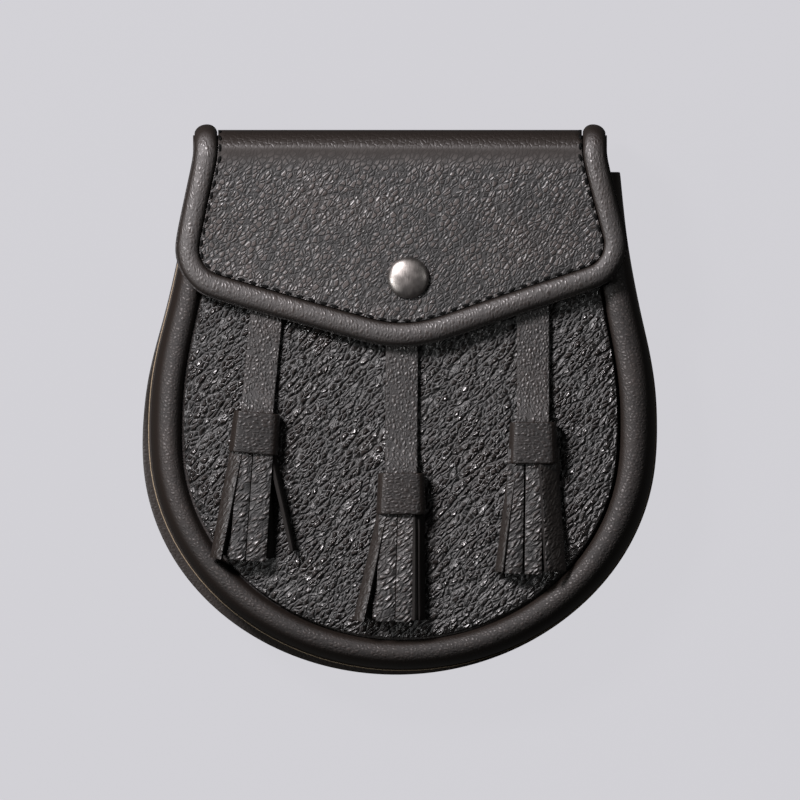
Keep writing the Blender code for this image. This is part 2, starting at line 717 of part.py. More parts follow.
def strip_mesh(strip, tassel):
    """One strip: from inside the head, out past the collar, splayed and rolled, sinking at its end."""
    splay = strip.splay
    if strip.side == "left":
        splay = tassel.splay_left
    if strip.side == "right":
        splay = tassel.splay_right
    splay, roll = radians(splay), radians(strip.roll)
    half, thin = STRIP_WIDTH / 2, STRIP_LEATHER / 2
    across = Vector((cos(roll), 0.0, sin(roll))) * half
    up = Vector((-sin(roll), 0.0, cos(roll))) * thin
    top_z = COLLAR_LEATHER + FIT_GAP + FRINGE_HEAD - 1.2 * thin
    root = COLLAR_HEIGHT / 2 - thin
    rows = []
    for droop in (Droop(along=-root / FRINGE_LENGTH / strip.reach, sink=0.0), *DROOPS):
        along = droop.along * FRINGE_LENGTH * strip.reach
        opened = smooth_step(min(abs(strip.roll), 1) * max(droop.along, 0.0) * 3)
        turn = opened if strip.roll else 1.0
        x = strip.across * STRIP_WIDTH + max(along, 0.0) * sin(splay)
        z = top_z - strip.under * STRIP_LEATHER - droop.sink * STRIP_LEATHER
        middle = Vector((x, -COLLAR_HEIGHT / 2 - along, z))
        flat_across, flat_up = Vector((thin, 0.0, 0.0)), Vector((0.0, 0.0, thin))
        wide = flat_across.lerp(across, turn)
        deep = flat_up.lerp(up, turn)
        rows.append([middle - wide - deep, middle + wide - deep, middle + wide + deep, middle - wide + deep])
    mesh = loft(rows, closed=True, caps=True)
    bmesh.ops.recalc_face_normals(mesh, faces=mesh.faces)
    return mesh


def add_tassel(tassel, leathers, pouch, parts, cutters):
    strap = add_piece("strap_" + tassel.name, strap_mesh(tassel), leathers["strap"], pouch, parts)
    add_wall(strap, STRAP_LEATHER, offset=1.0)
    place = (*tassel_place(tassel), tassel_seat(tassel))
    frame = add_frame("tassel_" + tassel.name, pouch, place, radians(tassel.swing), parts)
    collar = add_piece("collar_" + tassel.name, collar_mesh(), leathers["strap"], frame, parts)
    add_wall(collar, COLLAR_LEATHER)
    fringe = add_piece("fringe_" + tassel.name, head_mesh(), leathers["front"], frame, parts)
    for strip in STRIPS:
        helper_name = "_".join((strip.name, "strip", tassel.name))
        helper = add_helper(helper_name, strip_mesh(strip, tassel), frame, cutters)
        add_boolean(fringe, helper, "UNION")


def add_pouch(leathers, root, pouch, parts, cutters):
    back = add_piece("back_panel", back_mesh(), leathers["back"], pouch, parts)
    add_wall(back, BACK_LEATHER)
    gusset = add_piece("gusset", gusset_mesh(), leathers["smooth"], pouch, parts)
    add_wall(gusset, GUSSET_LEATHER)
    front = add_piece("front_panel", front_mesh(), leathers["front"], pouch, parts)
    add_wall(front, FRONT_LEATHER)
    add_hole(front, SNAP_POST_RADIUS + FIT_GAP, root, cutters)
    for name, side in (("left", -0.5), ("right", 0.5)):
        loop = add_piece("belt_loop_" + name, loop_mesh(), leathers["strap"], pouch, parts)
        loop.location = (side * LOOP_SPREAD, LOOP_Y, 0.0)
        add_wall(loop, LOOP_LEATHER)


def add_flap(leathers, root, parts, cutters):
    hole = SNAP_POST_RADIUS + FIT_GAP
    backing = add_piece("flap_backing", flap_sheet(0.0, TAIL_START, 0.0), leathers["smooth"], root, parts)
    add_wall(backing, BACKING_LEATHER, offset=1.0)
    add_hole(backing, hole, root, cutters)
    seam = BORDER_INSET + BORDER_WIDTH + FIT_GAP
    sheet = flap_sheet(seam, BORDER_START, PANEL_BASE)
    panel = add_piece("flap_panel", sheet, leathers["flap"], root, parts)
    add_wall(panel, FLAP_LEATHER, offset=1.0)
    add_hole(panel, hole, root, cutters)
    add_piece("flap_border", border_mesh(), leathers["smooth"], root, parts)


def centre_on_ground(root, parts):
    """Moves the whole part so that the middle of its underside is the origin."""
    bpy.context.view_layer.update()
    graph = bpy.context.evaluated_depsgraph_get()
    corners = []
    for piece in parts.objects:
        if piece.type == "MESH":
            solid = piece.evaluated_get(graph)
            mesh = solid.to_mesh()
            corners += [solid.matrix_world @ vertex.co for vertex in mesh.vertices]
            solid.to_mesh_clear()
    low = [min(corner[axis] for corner in corners) for axis in range(3)]
    high = [max(corner[axis] for corner in corners) for axis in range(3)]
    root.location = (-(low[0] + high[0]) / 2, -(low[1] + high[1]) / 2, -low[2])


def main():
    for old in list(bpy.data.objects):
        bpy.data.objects.remove(old)
    parts = bpy.data.collections.new("sporran")
    cutters = bpy.data.collections.new("cutters")
    bpy.context.scene.collection.children.link(parts)
    bpy.context.scene.collection.children.link(cutters)
    cutters.hide_render = True
    leathers = {
        "front": leather("pebbled_leather", (0.022, 0.021, 0.021), 0.42),
        "flap": leather("fine_pebbled_leather", (0.026, 0.025, 0.025), 0.5),
        "smooth": leather("smooth_leather", (0.024, 0.022, 0.021), 0.45),
        "strap": leather("strap_leather", (0.028, 0.027, 0.026), 0.5),
        "back": leather("back_leather", (0.030, 0.026, 0.023), 0.6),
    }
    nickel = metal("satin_nickel", (0.42, 0.41, 0.39), 0.3)
    root = add_frame("sporran_frame", None, (0.0, 0.0, 0.0), 0.0, parts)
    pouch = add_frame("pouch_frame", root, (BODY_SHIFT, 0.0, 0.0), -BODY_TURN, parts)
    add_pouch(leathers, root, pouch, parts, cutters)
    add_flap(leathers, root, parts, cutters)
    for name, profile in (("snap_cap", cap_profile()), ("snap_stud", stud_profile())):
        turned = add_turned(name, profile, nickel, root, parts)
        turned.location = (SNAP_X, SNAP_Y, 0.0)
    for tassel in TASSELS:
        add_tassel(tassel, leathers, pouch, parts, cutters)
    centre_on_ground(root, parts)


main()
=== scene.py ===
"""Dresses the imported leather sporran: grained leathers, a padded border with its row of stitches, a
domed snap, wrapped collars, cut fringes, and the studio that it is shown in. Lengths are in metres."""

from collections import namedtuple
from math import cos, pi, radians, sin

import bmesh
import bpy
from mathutils import Matrix, Vector


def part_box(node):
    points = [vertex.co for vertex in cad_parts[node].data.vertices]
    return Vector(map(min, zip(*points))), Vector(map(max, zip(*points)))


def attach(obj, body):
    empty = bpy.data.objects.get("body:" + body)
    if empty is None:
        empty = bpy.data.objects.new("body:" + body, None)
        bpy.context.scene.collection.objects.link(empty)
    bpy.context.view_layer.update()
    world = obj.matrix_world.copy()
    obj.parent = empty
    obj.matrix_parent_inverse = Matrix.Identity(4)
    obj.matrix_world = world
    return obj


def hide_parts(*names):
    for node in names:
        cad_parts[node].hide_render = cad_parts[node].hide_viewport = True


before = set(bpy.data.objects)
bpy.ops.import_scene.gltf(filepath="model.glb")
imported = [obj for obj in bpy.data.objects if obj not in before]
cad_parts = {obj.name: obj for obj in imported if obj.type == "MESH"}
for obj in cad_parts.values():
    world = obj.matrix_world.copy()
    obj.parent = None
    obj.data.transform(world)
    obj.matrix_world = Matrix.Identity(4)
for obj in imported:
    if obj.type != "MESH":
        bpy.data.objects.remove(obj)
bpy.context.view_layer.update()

bl_info = {
    "name": "Leather sporran",
    "version": (1, 0, 0),
    "blender": (4, 5, 0),
    "location": "View3D > Sidebar > Sporran",
    "description": "Dresses a leather sporran pouch and its studio",
    "category": "Object",
}

MM = 0.001
UP = Vector((0.0, 0.0, 1.0))
# The middle of the image, in the part's own frame, and how much of the floor it takes in
VIEW_CENTRE = Vector((0.0001, -0.0001, 0.0))
VIEW_SIZE = 0.288

# How a leather's grain looks. pebble: width of a pebble. depth: how far the relief reaches. dome: how far
# in from its crack a pebble still rises. tops: roughness of its top. creases: strength of the long folds.
# stretch and turn: how much longer a pebble is one way, and that way in degrees. roughness and shine: of
# its top, and the specular level. kept: how much of the hide's colour shows in the cracks and on the tops;
# the rest is the near-black crack colour, which in the cracks is painted shade and on the tops only deepens
# the tone. The last field says where the leather gets painted shade
Grain = namedtuple("Grain", "name pebble depth dome tops creases stretch turn roughness shine kept burnished")
# Where a leather gets painted shade, brown-black like burnished leather: where it stands so steep that its
# normal's Z is under full, fading out at none, then below a height and beyond a place towards the fold, both
# in millimetres. It stands in for the shade on sides turned from the light, low down and over the fold
Burnish = namedtuple("Burnish", "full none height fold", defaults=(-20, 200))

# Weights of the grain's layers, next to the pebbles' own 1
CRUMB_WEIGHT = 0.40
PORE_WEIGHT = 0.40
# Widths of the layers' cells, in pebbles
CRUMB_WIDTH = 0.55
FOLD_WIDTH = 2.6
# Roughness where the leather is rubbed dull over the flap's fold, and where it is polished on its sides
DULL_ROUGHNESS = 1.0
POLISHED_ROUGHNESS = 0.45
# What is left of the relief where the leather gets its painted shade
RUBBED_RELIEF = 0.35

# Each fringe's strips as they lie: the strip's middle where it leaves the collar and at its end, the
# height of its face at both, its width, its roll about its own length in degrees and how far it curls
Strip = namedtuple("Strip", "top_x top_y end_x end_y top_z end_z width roll curl")
FRINGES = {
    "left": (
        Strip(-55.7, -19.5, -58.6, -57.7, 37.9, 36.8, 5.3, 0, 0.3),
        Strip(-49.2, -20.0, -51.7, -58.1, 38.0, 36.9, 7.0, 2, 0.4),
        Strip(-59.2, -19.0, -66.8, -57.0, 36.4, 35.6, 5.6, 46, 0.5),
        Strip(-46.4, -19.6, -46.6, -57.0, 35.6, 34.4, 5.4, -58, 0.4),
        Strip(-45.4, -19.0, -37.4, -54.2, 35.2, 34.2, 4.6, -72, 0.4),
        Strip(-55.0, -19.8, -60.0, -56.4, 35.4, 34.8, 6.8, 0, 0.3),
        Strip(-49.5, -19.8, -51.0, -56.8, 35.5, 35.0, 6.8, 0, 0.3),
        Strip(-54.6, -19.8, -58.4, -56.0, 33.3, 32.9, 6.8, 0, 0.2),
        Strip(-48.8, -19.8, -50.4, -56.4, 33.3, 32.9, 6.8, 0, 0.2),
    ),
    "middle": (
        Strip(-4.3, -42.6, -5.3, -79.8, 38.0, 36.8, 6.6, 0, 0.4),
        Strip(2.3, -42.6, 1.6, -80.0, 38.1, 36.9, 6.0, 2, 0.3),
        Strip(6.7, -42.4, 6.9, -79.5, 36.7, 35.8, 4.4, -60, 0.3),
        Strip(8.2, -42.0, 8.6, -79.3, 35.0, 34.0, 5.0, -70, 0.4),
        Strip(-6.8, -41.6, -15.3, -79.6, 36.2, 35.6, 5.2, 48, 0.5),
        Strip(-4.4, -42.4, -6.4, -79.0, 35.4, 35.0, 6.8, 0, 0.3),
        Strip(2.6, -42.4, 3.0, -78.8, 35.3, 34.9, 6.8, 0, 0.3),
        Strip(-4.0, -42.4, -5.4, -78.4, 33.3, 32.9, 6.8, 0, 0.2),
        Strip(3.2, -42.4, 3.4, -78.2, 33.3, 32.9, 6.8, 0, 0.2),
    ),
    "right": (
        Strip(41.8, -24.2, 41.0, -62.6, 37.9, 36.6, 6.0, -2, 0.4),
        Strip(48.4, -24.2, 48.2, -62.9, 38.0, 36.8, 6.0, 2, 0.4),
        Strip(54.2, -24.0, 56.6, -62.0, 36.2, 35.3, 9.2, -42, 0.3),
        Strip(40.4, -23.8, 35.2, -61.9, 35.8, 35.2, 5.0, 56, 0.5),
        Strip(42.2, -24.2, 40.4, -61.6, 35.4, 35.0, 6.8, 0, 0.3),
        Strip(48.9, -24.2, 49.4, -61.4, 35.3, 34.9, 6.8, 0, 0.3),
        Strip(42.6, -24.2, 41.4, -61.2, 33.3, 32.9, 6.8, 0, 0.2),
        Strip(49.6, -24.2, 50.0, -61.0, 33.3, 32.9, 6.8, 0, 0.2),
    ),
}


class SporranSizes(bpy.types.PropertyGroup):
    """Sizes of the finish."""

    edge_round: bpy.props.FloatProperty(
        name="Edge rounding", description="Radius worn onto the leather's edges", default=0.0004, unit="LENGTH"
    )
    pebble: bpy.props.FloatProperty(
        name="Pebble", description="Width of the front's pebbles", default=0.0015, unit="LENGTH"
    )
    flap_pebble: bpy.props.FloatProperty(
        name="Flap pebble", description="Width of the flap's pebbles", default=0.0015, unit="LENGTH"
    )
    fine_pebble: bpy.props.FloatProperty(
        name="Fine grain", description="Width of the grain on the gusset and border", default=0.0012, unit="LENGTH"
    )
    stitch_pitch: bpy.props.FloatProperty(
        name="Stitch pitch", description="From one stitch to the next", default=0.0044, unit="LENGTH"
    )
    stitch_length: bpy.props.FloatProperty(
        name="Stitch length", description="Thread showing in one stitch", default=0.0031, unit="LENGTH"
    )
    thread: bpy.props.FloatProperty(
        name="Thread", description="Diameter of the waxed thread", default=0.0012, unit="LENGTH"
    )
    strip_leather: bpy.props.FloatProperty(
        name="Fringe leather", description="Thickness of the fringe's strips", default=0.0014, unit="LENGTH"
    )
    light_size: bpy.props.FloatProperty(
        name="Key light", description="Width of the main softbox", default=0.22, unit="LENGTH"
    )


class SporranColours(bpy.types.PropertyGroup):
    """Colours of the finish, as sRGB hex."""

    leather: bpy.props.StringProperty(name="Leather", description="Dyed black leather", default="#36312F")
    faded: bpy.props.StringProperty(name="Faded", description="Dye worn to brown", default="#3A2F2A")
    # Near-black painted shade for the cracks between the pebbles
    crack_shade: bpy.props.StringProperty(name="Crack shade", description="Between the pebbles", default="#030303")
    # Painted shade, brown-black like burnished leather, on steep sides, low edges and the flap's fold
    burnished: bpy.props.StringProperty(name="Burnished", description="Turned edges", default="#15100D")
    cut_edge: bpy.props.StringProperty(name="Cut edge", description="Raw edges of the leather", default="#7A6D5B")
    dyed_edge: bpy.props.StringProperty(name="Dyed edge", description="Cut edges of the fringes", default="#1A1817")
    rim: bpy.props.StringProperty(name="Rim", description="Burnished rim of the back", default="#1B1613")
    thread: bpy.props.StringProperty(name="Thread", description="Waxed thread", default="#060606")
    metal: bpy.props.StringProperty(name="Snap", description="Gunmetal nickel plating", default="#86827F")
    floor: bpy.props.StringProperty(name="Floor", description="Paper that the part lies on", default="#D3D2D7")


def linear(colour):
    """An sRGB hex colour as the linear RGBA that a shader takes."""
    channels = [int(colour[i : i + 2], 16) / 255 for i in (1, 3, 5)]
    return (*[c / 12.92 if c <= 0.04045 else ((c + 0.055) / 1.055) ** 2.4 for c in channels], 1.0)


def add_node(tree, kind, inputs=None, **settings):
    """Adds a node with its settings. An input's value may be a number, a colour or a socket."""
    node = tree.nodes.new(kind)
    for name, value in settings.items():
        setattr(node, name, value)
    for name, value in (inputs or {}).items():
        if isinstance(value, bpy.types.NodeSocket):
            tree.links.new(value, node.inputs[name])
        else:
            node.inputs[name].default_value = value
    return node


def new_material(name, sheen_of_it):
    """A material with its own Principled shader, whose plain values are set on its sockets."""
    material = bpy.data.materials.new(name)
    material.use_nodes = True
    shader = material.node_tree.nodes["Principled BSDF"]
    for socket, value in sheen_of_it.items():
        shader.inputs[socket].default_value = value
    return material, material.node_tree, shader


def spread(tree, value, low, high, to_low=0.0, to_high=1.0):
    """Maps a value smoothly from one range to another."""
    limits = {"Value": value, "From Min": low, "From Max": high, "To Min": to_low, "To Max": to_high}
    return add_node(tree, "ShaderNodeMapRange", limits, interpolation_type="SMOOTHSTEP").outputs["Result"]


def combine(tree, operation, *values):
    """One step of arithmetic on numbers and sockets."""
    node = add_node(tree, "ShaderNodeMath", dict(enumerate(values)), operation=operation)
    return node.outputs["Value"]


def cracked_cells(tree, hide, width, stretch):
    """Cells of this width in millimetres: 0 in the cracks between them, rising towards their middles."""
    shape = {"Vector": hide, "Scale": (1 / stretch, 1.0, 0.8)}
    placed = add_node(tree, "ShaderNodeMapping", shape).outputs["Vector"]
    cells = {"Vector": placed, "Scale": 1 / width}
    return add_node(tree, "ShaderNodeTexVoronoi", cells, feature="DISTANCE_TO_EDGE").outputs["Distance"]


def grained_leather(grain, colours):
    """Drum-dyed, grain-embossed cowhide. Pebbles stand between cracks darkened with painted shade, longer one
    way where the hide has been bent, and catch the light on one side. Steep sides, low edges and the fold get painted
    shade too."""
    material, tree, shader = new_material(grain.name, {"Specular IOR Level": grain.shine, "IOR": 1.5})
    place = add_node(tree, "ShaderNodeTexCoord").outputs["Object"]
    turned = {"Vector": place, "Rotation": (0.0, 0.0, radians(grain.turn)), "Scale": (1 / MM,) * 3}
    hide = add_node(tree, "ShaderNodeMapping", turned).outputs["Vector"]
    size = grain.pebble / MM
    drift = add_node(tree, "ShaderNodeTexNoise", {"Vector": hide, "Scale": 0.5 / size, "Detail": 2.0})
    away = add_node(tree, "ShaderNodeVectorMath", {0: drift.outputs["Color"], 1: (0.5,) * 3}, operation="SUBTRACT")
    pull = {0: away.outputs["Vector"], 1: (size * 0.55,) * 3, 2: hide}
    warped = add_node(tree, "ShaderNodeVectorMath", pull, operation="MULTIPLY_ADD").outputs["Vector"]
    pebble_cells = cracked_cells(tree, warped, size, grain.stretch)
    fold_cells = cracked_cells(tree, warped, size * FOLD_WIDTH, grain.stretch * 2.0)
    pebbles = spread(tree, pebble_cells, 0.0, grain.dome)
    crumbs = spread(tree, cracked_cells(tree, warped, size * CRUMB_WIDTH, grain.stretch), 0.0, 0.40)
    folds = spread(tree, fold_cells, 0.0, 0.18)
    patches = add_node(tree, "ShaderNodeTexNoise", {"Vector": hide, "Scale": 0.045, "Detail": 2.0}).outputs["Fac"]
    bent = spread(tree, patches, 0.35, 0.62, grain.creases * 0.5, grain.creases)
    pores = add_node(tree, "ShaderNodeTexNoise", {"Vector": warped, "Scale": 1.6 / size, "Detail": 3.0}).outputs["Fac"]
    height = combine(tree, "MULTIPLY_ADD", crumbs, CRUMB_WEIGHT * grain.tops, pebbles)
    height = combine(tree, "MULTIPLY_ADD", folds, bent, height)
    height = combine(tree, "MULTIPLY_ADD", pores, PORE_WEIGHT * grain.tops, height)
    full = 1.0 + 0.6 * grain.tops + 0.75 * grain.creases
    # Painted shade: the cracks, and the low spots of the pores, are darkened towards the crack colour as the shade in
    # these hollows; on the tops that colour only deepens the leather's tone
    open_fold, open_crack = spread(tree, fold_cells, 0.03, 0.11), spread(tree, pebble_cells, 0.05, 0.25)
    clear = combine(tree, "MULTIPLY", open_fold, open_crack)
    clear = combine(tree, "MULTIPLY", clear, spread(tree, pores, 0.2, 0.7, 0.7, 1.0))
    in_cracks, on_tops = grain.kept
    worn = combine(tree, "MULTIPLY_ADD", clear, on_tops - in_cracks, in_cracks)
    dyes = {"A": linear(colours.crack_shade), "B": linear(colours.leather), "Factor": worn}
    dye = add_node(tree, "ShaderNodeMix", dyes, data_type="RGBA")
    faded = spread(tree, patches, 0.45, 0.75, 0.0, 0.10)
    tints = {"A": dye.outputs["Result"], "B": linear(colours.faded), "Factor": faded}
    tint = add_node(tree, "ShaderNodeMix", tints, data_type="RGBA")
    # Where the leather is turned over, low down or at the flap's fold it gets painted shade: a darker brown-black
    # standing in for the shade there, with less relief
    burnished = grain.burnished
    facing = add_node(tree, "ShaderNodeNewGeometry").outputs["Normal"]
    level = add_node(tree, "ShaderNodeSeparateXYZ", {"Vector": facing}).outputs["Z"]
    flatness = add_node(tree, "ShaderNodeMath", {0: level}, operation="ABSOLUTE").outputs["Value"]
    turned_over = spread(tree, flatness, burnished.full, burnished.none, 1.0, 0.0)
    where = add_node(tree, "ShaderNodeSeparateXYZ", {"Vector": place}).outputs
    low_down = spread(tree, where["Z"], burnished.height * MM, (burnished.height + 6) * MM, 1.0, 0.0)
    at_fold = spread(tree, where["Y"], burnished.fold * MM, (burnished.fold + 10) * MM)
    turned_down = combine(tree, "MAXIMUM", turned_over, low_down)
    shade_mask = combine(tree, "MAXIMUM", turned_down, at_fold)
    shade_mix = {"A": tint.outputs["Result"], "B": linear(colours.burnished), "Factor": shade_mask}
    shaded = add_node(tree, "ShaderNodeMix", shade_mix, data_type="RGBA")
    tree.links.new(shaded.outputs["Result"], shader.inputs["Base Color"])
    gloss = spread(tree, height, 0.25 * full, 0.8 * full, min(grain.roughness + 0.3, 1.0), grain.roughness)
    dulls = {"A": gloss, "B": DULL_ROUGHNESS, "Factor": at_fold}
    dulled = add_node(tree, "ShaderNodeMix", dulls, data_type="FLOAT").outputs["Result"]
    polishes = {"A": dulled, "B": POLISHED_ROUGHNESS, "Factor": turned_down}
    polished = add_node(tree, "ShaderNodeMix", polishes, data_type="FLOAT")
    tree.links.new(polished.outputs["Result"], shader.inputs["Roughness"])
    rubbed = spread(tree, shade_mask, 0.0, 1.0, 1.0, RUBBED_RELIEF)
    relief = {"Strength": rubbed, "Distance": grain.depth, "Height": height}
    tree.links.new(add_node(tree, "ShaderNodeBump", relief).outputs["Normal"], shader.inputs["Normal"])
    return material


def cut_edge_leather(name, colour, roughness):
    """The cut through a hide: undyed fibres, matt and felted, in faint layers."""
    material, tree, shader = new_material(name, {"Roughness": roughness, "Specular IOR Level": 0.12})
    place = add_node(tree, "ShaderNodeTexCoord").outputs["Object"]
    # Fibres a tenth of a millimetre thick, drawn at a quarter so that they show
    fibres = {"Vector": place, "Scale": 1 / (0.25 * MM), "Detail": 3.0}
    fuzz = add_node(tree, "ShaderNodeTexNoise", fibres).outputs["Fac"]
    dark = tuple(channel * 0.45 for channel in linear(colour)[:3]) + (1.0,)
    dyes = {"A": dark, "B": linear(colour), "Factor": spread(tree, fuzz, 0.3, 0.7)}
    dye = add_node(tree, "ShaderNodeMix", dyes, data_type="RGBA")
    tree.links.new(dye.outputs["Result"], shader.inputs["Base Color"])
    relief = {"Strength": 0.6, "Distance": 0.1 * MM, "Height": fuzz}
    tree.links.new(add_node(tree, "ShaderNodeBump", relief).outputs["Normal"], shader.inputs["Normal"])
    return material


def waxed_thread(colours, thread):
    """Braided polyester thread, waxed: its strands wind round it and shine a little."""
    material, tree, shader = new_material("waxed_polyester_thread", {"Roughness": 0.7, "Specular IOR Level": 0.1})
    shader.inputs["Base Color"].default_value = linear(colours.thread)
    place = add_node(tree, "ShaderNodeTexCoord").outputs["Object"]
    winding = {"Vector": place, "Scale": 2.2 / thread, "Distortion": 1.5}
    strands = add_node(tree, "ShaderNodeTexWave", winding, bands_direction="DIAGONAL").outputs["Fac"]
    relief = {"Strength": 0.7, "Distance": thread * 0.15, "Height": strands}
    tree.links.new(add_node(tree, "ShaderNodeBump", relief).outputs["Normal"], shader.inputs["Normal"])
    return material


def gunmetal_nickel(colours):
    """Brass plated with dark nickel and tumbled: a satin sheen with hair scratches."""
    material, tree, shader = new_material("gunmetal_nickel_plate", {"Metallic": 1.0})
    place = add_node(tree, "ShaderNodeTexCoord").outputs["Object"]
    # Scratches 0.05 mm wide, drawn at 0.2 mm so that they show
    hairs = {"Vector": place, "Scale": (1 / (0.2 * MM), 1 / (2.5 * MM), 1 / (2.5 * MM)), "Rotation": (0, 0, 0.3)}
    hair = add_node(tree, "ShaderNodeMapping", hairs).outputs["Vector"]
    scratches = add_node(tree, "ShaderNodeTexNoise", {"Vector": hair, "Scale": 1.0, "Detail": 3.0}).outputs["Fac"]
    clouds = add_node(tree, "ShaderNodeTexNoise", {"Vector": place, "Scale": 1 / (3 * MM), "Detail": 2.0})
    dark = tuple(channel * 0.62 for channel in linear(colours.metal)[:3]) + (1.0,)
    plate = {"A": dark, "B": linear(colours.metal), "Factor": spread(tree, clouds.outputs["Fac"], 0.3, 0.7)}
    plated = add_node(tree, "ShaderNodeMix", plate, data_type="RGBA")
    tree.links.new(plated.outputs["Result"], shader.inputs["Base Color"])
    tree.links.new(spread(tree, scratches, 0.25, 0.75, 0.36, 0.48), shader.inputs["Roughness"])
    relief = {"Strength": 0.25, "Distance": 0.03 * MM, "Height": scratches}
    tree.links.new(add_node(tree, "ShaderNodeBump", relief).outputs["Normal"], shader.inputs["Normal"])
    return material


def material_named(name, make, *arguments):
    """The material of this name, made the first time that it is asked for."""
    return bpy.data.materials.get(name) or make(*arguments)


def finishes(scene):
    """The leathers and the rest, by the part of the sporran that they finish."""
    sizes, colours = scene.sporran_sizes, scene.sporran_colours
    coarse, milled, fine = sizes.pebble, sizes.flap_pebble, sizes.fine_pebble
    grains = {
        "front": Grain(
            "pebbled_cowhide", coarse, 0.00090, 0.42, 0.24, 1.0, 1.9, -46, 0.29, 0.70, (0.0, 0.35), Burnish(0.3, 0.8)
        ),
        "flap": Grain(
            "milled_cowhide", milled, 0.00021, 0.20, 0.14, 0.7, 1.6, -52, 0.43, 0.60, (0.0, 0.90),
            Burnish(0.86, 0.998, fold=81),
        ),
        "border": Grain(
            "padded_calf", fine, 0.00012, 0.45, 0.25, 0.5, 1.7, 84, 0.41, 0.70, (0.3, 0.65), Burnish(0.5, 0.9)
        ),
        "smooth": Grain(
            "rolled_calf", fine, 0.00012, 0.45, 0.35, 0.3, 1.4, 25, 0.48, 0.36, (0.2, 0.60),
            Burnish(0.4, 0.92, height=19),
        ),
        "band": Grain(
            "waxed_calf", fine, 0.00018, 0.40, 0.25, 0.4, 1.6, 8, 0.43, 0.32, (0.1, 0.40), Burnish(0.75, 0.97)
        ),
        "fringe": Grain(
            "split_cowhide", milled, 0.00040, 0.40, 0.30, 0.7, 2.2, -40, 0.37, 0.50, (0.0, 0.60), Burnish(0.7, 0.97)
        ),
        "strap": Grain(
            "bridle_leather", fine, 0.00024, 0.40, 0.25, 0.4, 1.4, 84, 0.42, 0.52, (0.1, 0.55), Burnish(0.3, 0.8)
        ),
    }
    made = {use: material_named(grain.name, grained_leather, grain, colours) for use, grain in grains.items()}
    cuts = {
        "edge": ("raw_hide_edge", colours.cut_edge, 0.8),
        "dyed": ("dyed_hide_edge", colours.dyed_edge, 0.85),
        "rim": ("burnished_hide_rim", colours.rim, 0.5),
    }
    for use, (name, colour, roughness) in cuts.items():
        made[use] = material_named(name, cut_edge_leather, name, colour, roughness)
    made["thread"] = material_named("waxed_polyester_thread", waxed_thread, colours, sizes.thread)
    made["metal"] = material_named("gunmetal_nickel_plate", gunmetal_nickel, colours)
    return made


def finish_piece(name, mesh, materials, replaced=()):
    """Makes a bmesh a piece of the sporran that moves with it and stands for CAD nodes."""
    data = bpy.data.meshes.new(name)
    mesh.to_mesh(data)
    mesh.free()
    data.shade_smooth()
    for material in materials:
        data.materials.append(material)
    piece = bpy.data.objects.new(name, data)
    bpy.context.scene.collection.objects.link(piece)
    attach(piece, "root")
    if replaced:
        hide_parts(*replaced)
    return piece


def add_subdivision(piece, levels):
    """Rounds a piece's faces off."""
    smooth = piece.modifiers.new("Smooth", "SUBSURF")
    smooth.levels = smooth.render_levels = levels
    return piece


def sheet_of(node):
    """A copy of a CAD node's mesh, merged, with its triangles joined into quads."""
    mesh = bmesh.new()
    mesh.from_mesh(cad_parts[node].data)
    bmesh.ops.remove_doubles(mesh, verts=mesh.verts, dist=0.002 * MM)
    limits = {"angle_face_threshold": radians(40), "angle_shape_threshold": radians(60)}
    bmesh.ops.join_triangles(mesh, faces=mesh.faces, cmp_seam=False, cmp_sharp=False, cmp_uvs=False, **limits)
    for face in mesh.faces:
        face.smooth = True
    return mesh


def sharp_edges(mesh, angle=50):
    """The edges where two faces meet at more than this angle in degrees."""
    return [edge for edge in mesh.edges if len(edge.link_faces) == 2 and edge.calc_face_angle(0) > radians(angle)]


def mark_cut_faces(mesh, thickness=3.2 * MM):
    """Gives the narrow walls between a sheet's two faces the second material."""
    sharp = set(sharp_edges(mesh))
    for face in mesh.faces:
        middles = [sum((vert.co for vert in edge.verts), Vector()) / 2 for edge in face.edges if edge in sharp]
        gaps = [(a - b).length for i, a in enumerate(middles) for b in middles[i + 1 :]]
        if any(gap < thickness for gap in gaps):
            face.material_index = 1


def round_edges(mesh, radius, raw=0.0):
    """Rounds a sheet's edges, as handling wears them. Below the height raw they show undyed hide."""
    edges = sharp_edges(mesh)
    rounding = {"offset": radius, "segments": 2, "profile": 0.5, "affect": "EDGES", "material": -1}
    made = bmesh.ops.bevel(mesh, geom=edges, clamp_overlap=True, **rounding)
    for face in made["faces"]:
        face.material_index = 2 if face.calc_center_median().z < raw else 0


def crown(mesh, lean, drop):
    """Rounds a wrapped band: its top falls away to both sides."""
    bmesh.ops.subdivide_edges(mesh, edges=mesh.edges, cuts=3, use_grid_fill=True)
    middle = sum((vert.co for vert in mesh.verts), Vector()) / len(mesh.verts)
    across = {vert: vert.co.x - middle.x - lean * (vert.co.y - middle.y) for vert in mesh.verts}
    half = max(across.values())
    for vert, distance in across.items():
        vert.co.z -= drop * abs(distance / half) ** 5


def dressed_sheet(node, name, materials, slot, rounding, levels=1, raw=0.0, crowned=None):
    """A CAD sheet of leather with worn edges and cut faces, smoothed."""
    mesh = sheet_of(node)
    if len(materials) > 1:
        mark_cut_faces(mesh)
    round_edges(mesh, rounding, raw)
    if crowned:
        crown(mesh, *crowned)
    piece = finish_piece(name, mesh, materials, [node])
    return add_subdivision(piece, levels)


# Stitches


# How far a stitch turns from its row at most, as a share of its length
STITCH_SLANT = 0.14


